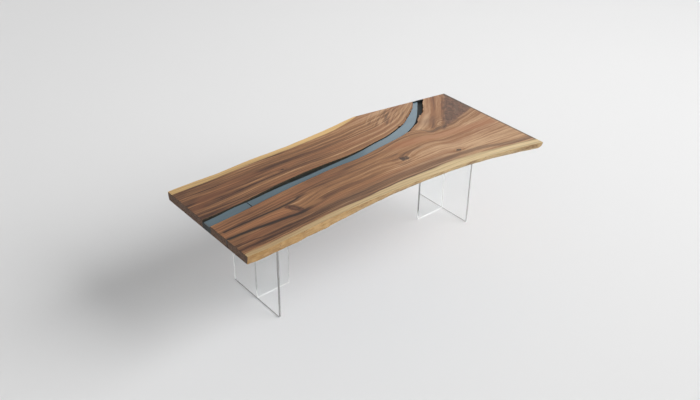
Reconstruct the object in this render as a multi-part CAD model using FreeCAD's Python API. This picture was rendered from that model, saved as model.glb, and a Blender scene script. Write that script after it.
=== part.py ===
import FreeCAD, Part
import math
import os

Vector = FreeCAD.Vector

# Table top, in millimetres: X runs along the table, Y towards its back edge, Z up
table_length = 2440.0
table_width = 1156.0
table_height = 750.0
slab_thickness = 60.0
front_undercut = 50.0
back_undercut = 34.0
cut_overrun = 8.0

# Live edges: X as a share of half the length, Y as a share of half the width,
# and how much of the undercut the underside has there
front_edge_shares = (
    (-1.04, -0.650, 0.04), (-0.75, -0.664, 0.10), (-0.50, -0.644, 0.06), (-0.25, -0.645, 0.40),
    (0.00, -0.668, 0.80), (0.25, -0.702, 0.96), (0.50, -0.765, 1.00), (0.75, -0.863, 0.82),
    (1.00, -1.000, 0.54), (1.04, -1.026, 0.50))
back_edge_shares = (
    (-1.04, 0.923, 0.25), (-0.92, 0.931, 0.30), (-0.67, 0.917, 0.45), (-0.52, 0.932, 0.50),
    (-0.25, 0.924, 0.60), (0.00, 0.943, 0.75), (0.15, 0.965, 0.90), (0.24, 0.988, 1.00),
    (0.334, 1.000, 1.00), (0.60, 1.020, 0.80), (1.04, 1.060, 0.60))
edge_middle_share = 0.5
edge_middle_undercut_share = 0.28

# The slanted saw cut at the back: where it leaves the live edge, and its end at the right
saw_cut_start_share = 0.334
saw_cut_end_share = 0.747

# River edges of the two slabs, in the same shares, from the left end to past the saw cut
front_bank_shares = (
    (-1.03, 0.040), (-0.80, 0.066), (-0.577, 0.110), (-0.35, 0.141), (-0.117, 0.153), (0.06, 0.147),
    (0.193, 0.179), (0.33, 0.205), (0.43, 0.239), (0.52, 0.296), (0.60, 0.386), (0.67, 0.488),
    (0.72, 0.545), (0.78, 0.675), (0.838, 0.802), (0.885, 0.905))
back_bank_shares = (
    (-1.03, 0.204), (-0.85, 0.210), (-0.69, 0.234), (-0.52, 0.272), (-0.30, 0.297), (-0.125, 0.289),
    (0.02, 0.279), (0.116, 0.292), (0.22, 0.320), (0.327, 0.347), (0.413, 0.394), (0.505, 0.460),
    (0.60, 0.572), (0.70, 0.718), (0.759, 0.833), (0.80, 0.925))

# River glass, its own edges in the same shares, and the resin bed with a lip at the saw cut
glass_recess = 7.0
glass_thickness = 10.0
glass_clearance = 1.0
glass_seam_gap = 5.5
glass_seam_share = -0.727
glass_front_shares = (
    (-1.03, 0.056), (-0.80, 0.069), (-0.577, 0.113), (-0.35, 0.144), (-0.117, 0.156), (0.06, 0.150),
    (0.193, 0.182), (0.33, 0.208), (0.43, 0.246), (0.52, 0.318), (0.60, 0.420), (0.683, 0.576),
    (0.793, 0.814), (0.835, 0.905))
glass_back_shares = (
    (-1.03, 0.170), (-0.91, 0.180), (-0.801, 0.203), (-0.72, 0.206), (-0.52, 0.228), (-0.34, 0.229),
    (-0.141, 0.244), (0.042, 0.260), (0.116, 0.277), (0.22, 0.313), (0.327, 0.341), (0.413, 0.385),
    (0.505, 0.455), (0.60, 0.567), (0.70, 0.713), (0.759, 0.828), (0.80, 0.920))
bed_lip_thickness = 9.0

# Cracks of the front slab, filled with black resin
long_crack_width = 10.0
short_crack_width = 5.0
crack_depth = 32.0
long_crack_shares = ((-1.04, -0.270), (-0.90, -0.286), (-0.75, -0.315), (-0.62, -0.338), (-0.53, -0.354))
long_crack_width_shares = (1.0, 0.85, 0.75, 0.5, 0)
short_crack_shares = (
    (-0.985, -0.143), (-0.86, -0.135), (-0.72, -0.126), (-0.62, -0.130), (-0.53, -0.112))
short_crack_width_shares = (0, 0.8, 1.0, 0.7, 0)

# Legs: a cross panel and a fin in a T, seen from above
end_overhang = 322.0
leg_line_offset = 51.0
panel_width = 528.0
panel_thickness = 15.0
panel_chamfer = 1.0
fin_length = 261.0
pad_thickness = 2.0
pad_diameter = 12.0
pad_inset = 20.0

# Mounting plates, let flush into the underside
plate_thickness = 6.0
plate_arm_width = 80.0
plate_end_margin = 26.0
plate_fin_reach = 30.0
plate_corner_radius = 10.0
pocket_clearance = 0.8
screw_end_distance = 60.0
screw_place_shares = (-1.0, -0.33, 0.33, 1.0)
bolt_end_distance = 22.0
bolt_side_distance = 26.0

# Countersunk screws that hold the panels to the plates
panel_screw_diameter = 6.0
panel_screw_head_diameter = 12.0
panel_screw_length = 40.0

# Bolts that hold the plates to the slabs, and their threaded inserts
plate_bolt_diameter = 8.0
plate_bolt_head_diameter = 14.0
plate_bolt_head_height = 4.4
plate_insert_diameter = 12.0
plate_insert_length = 22.0

# Channel stiffeners across the river, and their screws
stiffener_length = 700.0
stiffener_width = 40.0
stiffener_height = 14.0
stiffener_wall = 4.0
stiffener_bend_radius = 2.0
stiffener_plate_gap = 120.0
stiffener_line_offset = 130.0
stiffener_slot_length = 18.0
stiffener_screw_end_distance = 30.0
stiffener_screw_pitch = 200.0
stiffener_screws_per_end = 2
stiffener_screw_diameter = 6.0
stiffener_screw_head_diameter = 11.0
stiffener_screw_head_height = 3.3
stiffener_insert_diameter = 10.0
stiffener_insert_length = 15.0

# Fits of the fasteners, and the form of their heads
fit_clearance = 0.1
hole_clearance = 0.5
thread_bite_share = 0.9
button_crown_share = 0.6
fastener_sides = 8

# Places that follow from the sizes above
half_length = table_length / 2
half_width = table_width / 2
underside = table_height - slab_thickness
glass_top = table_height - glass_recess
glass_underside = glass_top - glass_thickness
plate_top = underside + plate_thickness
pocket_top = plate_top + fit_clearance
leg_place = half_length - end_overhang - panel_thickness / 2
plate_tip_distance = panel_thickness / 2 + fin_length + plate_fin_reach
stiffener_place = leg_place - plate_tip_distance - stiffener_plate_gap - stiffener_width / 2
stiffener_web_top = underside + stiffener_wall
stiffener_pocket_top = stiffener_web_top + fit_clearance
plate_bolt_length = pocket_top - underside + plate_insert_length * thread_bite_share
stiffener_screw_length = stiffener_pocket_top - underside + stiffener_insert_length * thread_bite_share


def at_shares(x_share, y_share, height):
    """A point of the plan from its shares of half the length and half the width."""
    return Vector(half_length * x_share, half_width * y_share, height)


def spline(points):
    """A smooth edge through the points."""
    curve = Part.BSplineCurve()
    curve.interpolate(points)
    return curve.toShape()


def line(start, end):
    """A straight edge."""
    return Part.LineSegment(start, end).toShape()


def prism(wire, height):
    """A closed flat wire raised by a height."""
    return Part.Face(wire).extrude(Vector(0, 0, height))


def closed(corners):
    """A closed wire of straight edges through the corners."""
    return Part.makePolygon(corners + corners[:1])


def ring(diameter, place, stretch=0):
    """The corners of a circle drawn with a few straight sides, drawn apart along Y for a slot."""
    corners = []
    for step in range(fastener_sides):
        turn = 2 * math.pi * (step + 0.5) / fastener_sides
        across, along = math.cos(turn), math.sin(turn)
        corner = Vector(across, along, 0) * (diameter / 2)
        corners.append(place + corner + Vector(0, math.copysign(stretch / 2, along), 0))
    return corners


def rod(diameter, height, place):
    """An upright round solid with a few flats, its lower end at the place."""
    return prism(closed(ring(diameter, place)), height)


def turned(profile, place):
    """An upright solid with a few flats through pairs of a diameter and a height above the place."""
    rings = [ring(diameter, place + Vector(0, 0, height)) for diameter, height in profile]
    wires = [closed(rings[0]), closed(rings[-1])]
    for lower, upper in zip(rings, rings[1:]):
        for corner in range(fastener_sides):
            wires.append(closed([lower[corner - 1], lower[corner], upper[corner], upper[corner - 1]]))
    return Part.makeSolid(Part.makeShell([Part.Face(wire) for wire in wires]))


def box_between(low, high):
    """A box from its lowest to its highest corner."""
    size = high.sub(low)
    return Part.makeBox(size.x, size.y, size.z, low)


def plank_section(height, undercut_share):
    """The plank's outline at one height, with both live edges drawn in by a share of the undercut."""
    front = []
    for x_share, y_share, drawn_share in front_edge_shares:
        inward = front_undercut * drawn_share * undercut_share
        front.append(at_shares(x_share, y_share, height) + Vector(0, inward, 0))
    back = []
    for x_share, y_share, drawn_share in back_edge_shares:
        inward = back_undercut * drawn_share * undercut_share
        back.append(at_shares(x_share, y_share, height) - Vector(0, inward, 0))
    edges = [spline(front), line(front[-1], back[-1]), spline(back[::-1]), line(back[0], front[0])]
    return Part.Wire(edges)


def top_blank():
    """The whole top: live edges lofted from underside to surface, then sawn at the ends and the back."""
    middle = underside + slab_thickness * edge_middle_share
    sections = [
        plank_section(underside, 1),
        plank_section(middle, edge_middle_undercut_share),
        plank_section(table_height, 0)]
    return Part.makeLoft(sections, True, False).common(sawn_space(0))


def sawn_space(inset):
    """A tall block within the two ends and the saw cut, with the saw cut moved in by a distance."""
    start_place = half_length * saw_cut_start_share
    end_place = half_width * saw_cut_end_share
    rise = (half_width - end_place) / (half_length - start_place)
    corners = [
        Vector(-half_length, -table_width, underside - cut_overrun),
        Vector(half_length, -table_width, underside - cut_overrun),
        Vector(half_length, end_place - inset, underside - cut_overrun),
        Vector(-half_length, end_place - inset + rise * table_length, underside - cut_overrun)]
    return prism(closed(corners), slab_thickness + 2 * cut_overrun)


def bank_points(shares):
    """The points of one river edge, at floor height."""
    return [at_shares(x_share, y_share, 0) for x_share, y_share in shares]


def moved_sideways(points, distances):
    """Points moved to the left of the way they run, each by its own distance."""
    moved = []
    for index, point in enumerate(points):
        before = points[max(index - 1, 0)]
        after = points[min(index + 1, len(points) - 1)]
        along = after.sub(before).normalize()
        sideways = Vector(-along.y, along.x, 0)
        moved.append(point + sideways * distances[index])
    return moved


def river_band(front, back, low, high):
    """The solid between two river edges, from one height to another."""
    edges = [spline(front), line(front[-1], back[-1]), spline(back[::-1]), line(back[0], front[0])]
    band = prism(Part.Wire(edges), high - low)
    band.translate(Vector(0, 0, low))
    return band


def crack_fill(shares, width, width_shares):
    """A thin tapering wedge of resin along a crack, from the surface down."""
    points = [at_shares(x_share, y_share, table_height - crack_depth) for x_share, y_share in shares]
    half_widths = [width / 2 * share for share in width_shares]
    left = moved_sideways(points, half_widths)
    right = moved_sideways(points, [-distance for distance in half_widths])
    edges = [spline(right), spline(left[::-1])]
    if width_shares[0]:
        edges.append(line(left[0], right[0]))
    return prism(Part.Wire(edges), crack_depth)


def tee_outline(side, grow, height):
    """The T of a mounting plate, its stem towards the table's middle, grown by a clearance."""
    middle = side * leg_place
    arm = plate_arm_width / 2 + grow
    end = panel_width / 2 - plate_end_margin + grow
    tip = plate_tip_distance + grow
    bar = [(-arm, -end), (arm, -end), (arm, end), (-arm, end)]
    stem = [(-arm, arm), (-tip, arm), (-tip, -arm), (-arm, -arm)]
    corners = [Vector(middle + side * x, leg_line_offset + y, height) for x, y in bar + stem]
    return closed(corners)


def rounded_upright_edges(solid, radius):
    """The solid with its upright edges rounded."""
    upright = [edge for edge in solid.Edges if edge.BoundBox.ZLength > plate_thickness / 2]
    return solid.makeFillet(radius, upright)


def plate_blank(side, grow, top):
    """A mounting plate, or the pocket for one, from the underside to a height."""
    plate = prism(tee_outline(side, grow, underside), top - underside)
    return rounded_upright_edges(plate, plate_corner_radius + grow)


def plate_bolt_places(side):
    """Where the bolts go through a mounting plate: by the ends of its arm and past the fin."""
    middle = side * leg_place
    end = panel_width / 2 - plate_end_margin - bolt_end_distance
    places = []
    for y in (-end, end):
        for x in (-bolt_side_distance, bolt_side_distance):
            places.append(Vector(middle + x, leg_line_offset + y, underside))
    tip = plate_tip_distance - bolt_end_distance
    places.append(Vector(middle - side * tip, leg_line_offset, underside))
    return places


def panel_screw_places(side):
    """Where screws go down into the cross panel and into the fin."""
    middle = side * leg_place
    end = panel_width / 2 - plate_end_margin - screw_end_distance
    cross = [Vector(middle, leg_line_offset + end * share, plate_top) for share in screw_place_shares]
    near = panel_thickness / 2 + screw_end_distance
    far = panel_thickness / 2 + fin_length - screw_end_distance
    fin = [Vector(middle - side * x, leg_line_offset, plate_top) for x in (near, far)]
    return cross, fin


def countersunk_screw(place, clearance):
    """A countersunk screw below its place, or its hole when given a clearance."""
    head = panel_screw_head_diameter + 2 * clearance
    shank = panel_screw_diameter + 2 * clearance
    depth = (head - shank) / 2
    return turned([(shank, -panel_screw_length - clearance), (shank, -depth), (head, 0)], place)


def button_bolt(diameter, head_diameter, head_height, length, place):
    """A button-head bolt that points up, its head hanging below the place."""
    crown_diameter = head_diameter * button_crown_share
    head = turned([(crown_diameter, -head_height), (head_diameter, 0)], place)
    return head.fuse(rod(diameter, length, place))


def insert(outer_diameter, thread_diameter, length, place):
    """A threaded insert: a sleeve above its place."""
    sleeve = rod(outer_diameter, length, place)
    bore = rod(thread_diameter + 2 * fit_clearance, length, place)
    return sleeve.cut(bore)


def insert_hole(outer_diameter, length, place):
    """The hole that takes an insert."""
    return rod(outer_diameter + 2 * fit_clearance, length + fit_clearance, place)


def panel(low, high, free_places):
    """A clear sheet with a fine polished chamfer on the upright edges at its free X places."""
    sheet = box_between(low, high)
    free = []
    for edge in sheet.Edges:
        upright = edge.BoundBox.ZLength > (high.z - low.z) / 2
        nearest = min(abs(edge.CenterOfMass.x - place) for place in free_places)
        if upright and nearest < panel_chamfer:
            free.append(edge)
    return sheet.makeChamfer(panel_chamfer, free)


def leg(side):
    """All pieces of one leg; side is -1 for the left leg and 1 for the right one."""
    middle = side * leg_place
    half_panel = panel_thickness / 2
    outer = middle + side * half_panel
    inner = middle - side * half_panel
    tip = inner - side * fin_length
    front = leg_line_offset - panel_width / 2
    back = leg_line_offset + panel_width / 2
    cross_places, fin_places = panel_screw_places(side)
    bolt_places = plate_bolt_places(side)

    cross_panel = panel(
        Vector(min(outer, inner), front, pad_thickness),
        Vector(max(outer, inner), back, underside), (outer, inner))
    fin_panel = panel(
        Vector(min(inner, tip), leg_line_offset - half_panel, pad_thickness),
        Vector(max(inner, tip), leg_line_offset + half_panel, underside), (tip,))
    for place in cross_places:
        cross_panel = cross_panel.cut(countersunk_screw(place, fit_clearance))
    for place in fin_places:
        fin_panel = fin_panel.cut(countersunk_screw(place, fit_clearance))

    plate = plate_blank(side, 0, plate_top)
    for place in cross_places + fin_places:
        plate = plate.cut(countersunk_screw(place, fit_clearance))
    for place in bolt_places:
        plate = plate.cut(rod(plate_bolt_diameter + 2 * hole_clearance, plate_thickness, place))

    bolts = [
        button_bolt(
            plate_bolt_diameter, plate_bolt_head_diameter, plate_bolt_head_height, plate_bolt_length, place)
        for place in bolt_places]
    raise_to_pocket = Vector(0, 0, pocket_top - underside)
    inserts = [
        insert(plate_insert_diameter, plate_bolt_diameter, plate_insert_length, place + raise_to_pocket)
        for place in bolt_places]
    pad_places = [
        Vector(middle, front + pad_inset, 0),
        Vector(middle, back - pad_inset, 0),
        Vector(tip + side * pad_inset, leg_line_offset, 0)]
    return {
        "cross_panel": cross_panel,
        "fin_panel": fin_panel,
        "mount_plate": plate,
        "panel_screws": Part.Compound([countersunk_screw(place, 0) for place in cross_places + fin_places]),
        "plate_bolts": Part.Compound(bolts),
        "plate_inserts": Part.Compound(inserts),
        "floor_pads": Part.Compound([rod(pad_diameter, pad_thickness, place) for place in pad_places])}


def leg_cutters(side):
    """What one leg takes out of the underside: its plate's pocket and the holes for the inserts."""
    raise_to_pocket = Vector(0, 0, pocket_top - underside)
    cutters = [plate_blank(side, pocket_clearance, pocket_top)]
    for place in plate_bolt_places(side):
        cutters.append(insert_hole(plate_insert_diameter, plate_insert_length, place + raise_to_pocket))
    return cutters


def stiffener_screw_places(middle):
    """Where the screws of one stiffener go up: evenly from both ends."""
    places = []
    for end in (-1, 1):
        outermost = stiffener_length / 2 - stiffener_screw_end_distance
        for step in range(stiffener_screws_per_end):
            y = end * (outermost - step * stiffener_screw_pitch)
            places.append(Vector(middle, stiffener_line_offset + y, underside))
    return places


def channel_profile(middle, grow):
    """A channel's section at its front end: the web flush below, both flanges standing up."""
    outer = stiffener_width / 2 + grow
    inner = stiffener_width / 2 - stiffener_wall - grow
    top = underside + stiffener_height + grow
    web = stiffener_web_top + min(grow, fit_clearance)
    plan = [(-outer, underside), (outer, underside), (outer, top), (inner, top), (inner, web), (-inner, web)]
    plan += [(-inner, top), (-outer, top)]
    front = stiffener_line_offset - stiffener_length / 2 - grow
    corners = [Vector(middle + x, front, z) for x, z in plan]
    return closed(corners)


def channel_blank(middle, grow):
    """A channel stiffener without its slots, or the groove for one."""
    section = Part.Face(channel_profile(middle, grow))
    return section.extrude(Vector(0, stiffener_length + 2 * grow, 0))


def slot(place):
    """A slot along a channel, so that the wood can move across its grain."""
    width = stiffener_screw_diameter + 2 * hole_clearance
    return prism(closed(ring(width, place, stiffener_slot_length - width)), stiffener_wall)


def stiffener(middle):
    """One steel channel with bent corners and slotted holes."""
    channel = channel_blank(middle, 0)
    outer = [
        edge for edge in channel.Edges
        if edge.BoundBox.YLength > stiffener_length / 2
        and abs(edge.BoundBox.XMin - middle) > stiffener_width / 2 - stiffener_wall / 2
        and edge.BoundBox.ZMax < underside + stiffener_wall / 2]
    channel = channel.makeFillet(stiffener_bend_radius, outer)
    for place in stiffener_screw_places(middle):
        channel = channel.cut(slot(place))
    return channel


def stiffener_cutters(middle):
    """What one stiffener takes out of the underside: its groove and the holes for the inserts."""
    raise_to_pocket = Vector(0, 0, stiffener_pocket_top - underside)
    cutters = [channel_blank(middle, pocket_clearance)]
    for place in stiffener_screw_places(middle):
        mouth = place + raise_to_pocket
        cutters.append(insert_hole(stiffener_insert_diameter, stiffener_insert_length, mouth))
    return cutters


def table_top(underside_cutters):
    """The two slabs, the river between them and the filled cracks."""
    blank = top_blank()
    front_bank = bank_points(front_bank_shares)
    back_bank = bank_points(back_bank_shares)
    river = river_band(front_bank, back_bank, underside - cut_overrun, table_height + cut_overrun)
    back_slab, front_slab = sorted(blank.cut(river).Solids, key=lambda solid: solid.Volume)

    bed_space = river_band(front_bank, back_bank, underside - cut_overrun, glass_underside)
    lip = blank.common(river).cut(sawn_space(bed_lip_thickness))
    bed = blank.common(bed_space).fuse(lip).removeSplitter()

    glass_front = bank_points(glass_front_shares)
    glass_back = bank_points(glass_back_shares)
    glass_space = river_band(glass_front, glass_back, glass_underside, glass_top)
    seam = half_length * glass_seam_share
    seam_cut = box_between(
        Vector(seam - glass_seam_gap / 2, -half_width, glass_underside - cut_overrun),
        Vector(seam + glass_seam_gap / 2, half_width, glass_top + cut_overrun))
    glass = glass_space.common(sawn_space(bed_lip_thickness + glass_clearance)).cut(seam_cut)
    glass_short, glass_long = sorted(glass.Solids, key=lambda solid: solid.CenterOfMass.x)

    long_fill = front_slab.common(crack_fill(long_crack_shares, long_crack_width, long_crack_width_shares))
    short_fill = crack_fill(short_crack_shares, short_crack_width, short_crack_width_shares)
    front_slab = front_slab.cut([long_fill, short_fill])
    return {
        "front_slab": front_slab.cut(underside_cutters),
        "back_slab": back_slab.cut(underside_cutters),
        "river_bed": bed.cut(underside_cutters),
        "river_glass_short": glass_short,
        "river_glass_long": glass_long,
        "crack_fill_long": long_fill,
        "crack_fill_short": short_fill}


def stiffeners():
    """The channels across the river with all their screws and inserts."""
    pieces = {}
    screws = []
    inserts = []
    raise_to_pocket = Vector(0, 0, stiffener_pocket_top - underside)
    for name, side in (("left", -1), ("middle", 0), ("right", 1)):
        middle = side * stiffener_place
        pieces["stiffener_" + name] = stiffener(middle)
        for place in stiffener_screw_places(middle):
            screws.append(button_bolt(
                stiffener_screw_diameter, stiffener_screw_head_diameter, stiffener_screw_head_height,
                stiffener_screw_length, place))
            inserts.append(insert(
                stiffener_insert_diameter, stiffener_screw_diameter, stiffener_insert_length,
                place + raise_to_pocket))
    pieces["stiffener_screws"] = Part.Compound(screws)
    pieces["stiffener_inserts"] = Part.Compound(inserts)
    return pieces


def all_pieces():
    """Every piece of the table by its name."""
    cutters = leg_cutters(-1) + leg_cutters(1)
    for side in (-1, 0, 1):
        cutters += stiffener_cutters(side * stiffener_place)
    pieces = table_top(cutters)
    pieces.update(stiffeners())
    for name, side in (("left_leg_", -1), ("right_leg_", 1)):
        for piece, shape in leg(side).items():
            pieces[name + piece] = shape
    return pieces


os.makedirs("parts", exist_ok=True)
for name, shape in all_pieces().items():
    shape.exportStep("parts/" + name + ".step")
    print(name, len(shape.Solids), "solids", round(shape.Volume / 1000), "cm3", shape.isValid())
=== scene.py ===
import math

import bmesh
import bpy
from bpy.props import FloatProperty, FloatVectorProperty, IntProperty, PointerProperty
from mathutils import Matrix, Vector


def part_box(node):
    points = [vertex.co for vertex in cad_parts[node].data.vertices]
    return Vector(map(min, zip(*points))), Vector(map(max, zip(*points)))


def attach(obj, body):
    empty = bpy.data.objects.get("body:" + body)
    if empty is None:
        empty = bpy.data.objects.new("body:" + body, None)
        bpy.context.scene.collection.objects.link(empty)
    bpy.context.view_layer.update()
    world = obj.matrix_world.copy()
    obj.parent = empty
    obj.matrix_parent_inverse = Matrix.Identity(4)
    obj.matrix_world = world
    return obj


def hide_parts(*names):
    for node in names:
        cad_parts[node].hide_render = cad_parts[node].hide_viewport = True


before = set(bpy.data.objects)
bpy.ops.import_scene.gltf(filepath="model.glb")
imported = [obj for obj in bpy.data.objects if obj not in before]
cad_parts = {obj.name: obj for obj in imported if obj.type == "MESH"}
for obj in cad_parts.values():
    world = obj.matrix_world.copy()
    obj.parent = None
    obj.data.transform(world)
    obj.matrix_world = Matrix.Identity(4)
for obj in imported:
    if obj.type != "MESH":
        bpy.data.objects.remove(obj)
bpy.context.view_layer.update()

bl_info = {
    "name": "Live Edge River Table",
    "version": (1, 0, 0),
    "blender": (4, 5, 0),
    "location": "View3D > Sidebar > River Table",
    "description": "Dresses the frame of a live edge dining table in wood, river glass and clear legs",
    "category": "Object",
}

LEGS = ("left_leg_", "right_leg_")
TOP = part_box("front_slab")[1].z
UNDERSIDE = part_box("front_slab")[0].z
LEFT_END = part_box("front_slab")[0].x
RIGHT_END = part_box("front_slab")[1].x
TABLE_LENGTH = RIGHT_END - LEFT_END
TINY = 0.0001

# The live edges draw in towards the underside by this power of the depth
EDGE_CURVE = 1.84


def tint(red, green, blue):
    """A display colour of 0 to 255 as the linear values that shaders take."""
    shares = [value / 255 for value in (red, green, blue)]
    return tuple(share / 12.92 if share <= 0.04045 else ((share + 0.055) / 1.055) ** 2.4 for share in shares)


def rim_line(node, height, wanted):
    """The corners of a node at one height that the test wants, as (x, y) pairs in order of x."""
    corners = set()
    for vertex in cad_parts[node].data.vertices:
        if abs(vertex.co.z - height) < TINY and wanted(vertex.co.x, vertex.co.y):
            corners.add((round(vertex.co.x, 4), round(vertex.co.y, 4)))
    return sorted(corners)


def value_on(line, x):
    """The value of a line of (x, value) pairs at one x."""
    if x <= line[0][0]:
        return line[0][1]
    for (x_before, before), (x_after, after) in zip(line, line[1:]):
        if x <= x_after:
            share = (x - x_before) / max(x_after - x_before, TINY)
            return before + (after - before) * share
    return line[-1][1]


def level_share(line):
    """How level a line runs: the cosine of its slope at each of its points."""
    shares = []
    for index, (x, y) in enumerate(line):
        x_before, y_before = line[max(index - 1, 0)]
        x_after, y_after = line[min(index + 1, len(line) - 1)]
        slope = (y_after - y_before) / max(x_after - x_before, TINY)
        shares.append((x, 1 / math.hypot(1, slope)))
    return shares


# The rims of the slabs as the frame has them: live edges above and below, and the two river banks
BANK_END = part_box("river_bed")[1].x
FRONT_LIMIT = -0.3
BACK_LIMIT = 0.5
FRONT_EDGE = rim_line("front_slab", TOP, lambda x, y: y < FRONT_LIMIT)
FRONT_EDGE_BELOW = rim_line("front_slab", UNDERSIDE, lambda x, y: y < FRONT_LIMIT)
BACK_EDGE = rim_line("back_slab", TOP, lambda x, y: y > BACK_LIMIT)
BACK_EDGE_BELOW = rim_line("back_slab", UNDERSIDE, lambda x, y: y > BACK_LIMIT)
FRONT_BANK = rim_line("front_slab", TOP, lambda x, y: y > 0 and x < BANK_END + TINY)
BACK_BANK = rim_line("back_slab", TOP, lambda x, y: y < BACK_LIMIT)

# Where the grain of the front slab leaves the river and runs on to the right end
HEART_LINE = (
    (-1.22, 0.030), (-0.74, 0.064), (-0.40, 0.088), (-0.05, 0.090), (0.20, 0.102), (0.44, 0.128),
    (0.55, 0.125), (0.70, 0.062), (0.80, 0.054), (1.00, 0.084), (1.22, 0.130))

# Widths along the two live edges: pale sapwood, and the dark streaked heartwood inside it
FRONT_SAPWOOD = (
    (-1.22, 0.028), (-1.12, 0.039), (-0.80, 0.040), (-0.50, 0.044), (-0.30, 0.042), (-0.10, 0.054),
    (0.10, 0.063), (0.30, 0.065), (0.50, 0.076), (0.70, 0.073), (0.90, 0.064), (1.22, 0.060))
BACK_SAPWOOD = (
    (-1.22, 0.051), (-1.00, 0.051), (-0.80, 0.044), (-0.50, 0.046), (-0.30, 0.042), (0.10, 0.047),
    (0.20, 0.042), (0.30, 0.035), (0.40, 0.016), (0.50, 0.0), (1.22, 0.0))
FRONT_DARKWOOD = (
    (-1.22, 0.110), (-0.80, 0.075), (-0.20, 0.080), (0.10, 0.095), (0.45, 0.070), (0.80, 0.040),
    (1.22, 0.030))
BACK_DARKWOOD = ((-1.22, 0.028), (-0.50, 0.022), (0.20, 0.018), (1.22, 0.010))

# Knots: x, y, reach along and across the grain, how far they push the grain aside, and the size of the eye
FRONT_KNOTS = (
    (-0.640, -0.140, 0.170, 0.075, 0.040, 0.0),
    (0.280, -0.116, 0.130, 0.046, 0.034, 0.029),
    (0.664, -0.276, 0.080, 0.022, 0.016, 0.014))
BACK_KNOTS = ((-0.470, 0.295, 0.090, 0.022, 0.014, 0.011),)

# Lines of x and y in the front slab's figure: cracks, streaks by the sapwood, knot branches, orange wood
LONG_CRACK = (
    (-1.22, -0.160), (-1.10, -0.164), (-0.92, -0.181), (-0.76, -0.197), (-0.69, -0.205), (-0.62, -0.196),
    (-0.55, -0.193))
SHORT_CRACK = (
    (-1.20, -0.082), (-1.00, -0.077), (-0.80, -0.075), (-0.65, -0.065), (-0.58, -0.048), (-0.46, -0.040))
SAP_STREAKS = (
    ((-1.23, -0.303), (-1.10, -0.301), (-1.00, -0.305), (-0.80, -0.309), (-0.60, -0.300), (-0.30, -0.300)),
    ((-1.23, -0.267), (-1.10, -0.260), (-1.00, -0.270), (-0.70, -0.268), (-0.60, -0.254), (-0.30, -0.238)))
BROWN_STREAK = ((-1.23, -0.285), (-1.00, -0.288), (-0.70, -0.288), (-0.50, -0.276))
SIDE_STREAK = (
    (0.30, -0.300), (0.40, -0.307), (0.60, -0.313), (0.70, -0.327), (0.80, -0.345), (0.90, -0.382),
    (1.00, -0.423), (1.10, -0.449), (1.23, -0.472))
KNOT_BRANCHES = (
    ((0.12, -0.030), (0.25, -0.038), (0.31, -0.080)),
    ((0.31, -0.094), (0.38, -0.072), (0.52, -0.078)),
    ((0.17, -0.158), (0.26, -0.170), (0.32, -0.150)))
KNOT_SIDE = ((-0.67, -0.172), (-0.58, -0.170), (-0.46, -0.158))
FORK_TIP = ((0.640, 0.130), (0.663, 0.105), (0.686, 0.060), (0.727, 0.040), (0.783, 0.048), (0.850, 0.040))
BANK_ORANGE = ((-1.23, -0.030), (-0.90, 0.000), (-0.50, 0.030))
CRACK_TONGUE = ((-1.23, -0.120), (-0.90, -0.122), (-0.68, -0.128))
ORANGE_STREAK = ((0.20, 0.062), (0.49, 0.020), (0.70, -0.035), (0.93, -0.075), (1.22, -0.115))

# Strokes of that figure: line, share of the waver, half width, fades at its start and end, strength, colour
GRAIN_STROKES = (
    (ORANGE_STREAK, 0.03, 0.060, 0.25, 0.05, 0.576, "orange_heart"),
    (CRACK_TONGUE, 0.0, 0.045, 0.02, 0.06, 0.32, "orange_heart"),
    (BANK_ORANGE, 0.0, 0.070, 0.01, 0.25, 0.128, "orange_heart"),
    (SIDE_STREAK, 0.02, 0.030, 0.25, 0.01, 0.50, "side_streak"),
    (BROWN_STREAK, 0.02, 0.014, 0.01, 0.30, 0.60, "brown_heart"),
    *[(line, 0.02, 0.011, 0.01, 0.60, 0.75, "dark_heart") for line in SAP_STREAKS],
    *[(line, 0.02, 0.016, 0.05, 0.05, 0.32, "dark_heart") for line in KNOT_BRANCHES])
KNOT_STROKES = ((KNOT_SIDE, 0.0, 0.024, 0.04, 0.06, 0.65, "tan_heart"),)
CRACK_STROKES = (
    (LONG_CRACK, 0.02, 0.0456, 0.01, 0.12, 0.40, "crack_halo"),
    (LONG_CRACK, 0.01, 0.0190, 0.01, 0.12, 0.90, "crack_stain"),
    (SHORT_CRACK, 0.02, 0.0264, 0.01, 0.16, 0.40, "crack_halo"),
    (SHORT_CRACK, 0.01, 0.0110, 0.01, 0.16, 0.90, "crack_stain"))
FORK_STROKES = ((FORK_TIP, 0.02, 0.022, 0.04, 0.06, 0.60, "fork_tip"),)

# Pale lines of the back slab: tan wood by the river and pale wood by the sapwood
BACK_BANK_TAN = ((-1.15, 0.238), (-0.80, 0.252), (-0.40, 0.268))
BACK_PALE = ((-0.98, 0.487), (-0.40, 0.492), (0.08, 0.497))

# Burls on the front live edge: their place along the table, height and reach
EDGE_BURLS = ((0.629, 0.728, 0.030), (1.080, 0.722, 0.022), (1.125, 0.728, 0.026), (1.165, 0.722, 0.020))

# The spike knot between the cracks: its middle, its half length and half width, and its turn
SPIKE_KNOT = (-0.694, -0.134)
SPIKE_KNOT_REACH = (0.066, 0.030)
SPIKE_KNOT_TURN = math.radians(122)

# Corners of the dark fork figure at the back right, in plan, and the reddish patch at the river's bend
FORK_FIGURE = ((1.300, 0.520), (0.790, 0.010), (1.300, 0.150))
BEND_PATCH = (0.80, 0.17)
BEND_PATCH_REACH = (0.10, 0.06)

# The feathered figure of the back slab: its middle, its reach and the turn of its strokes
FEATHER_FIGURE = (0.590, 0.430)
FEATHER_FIGURE_REACH = (0.230, 0.140)
FEATHER_TURN = math.radians(35)

# The turn of the front slab's grain beside the river's bend, and where the bank would run on straight
BANK_TURN = math.radians(47)
STRAIGHT_BANK = -0.43

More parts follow.
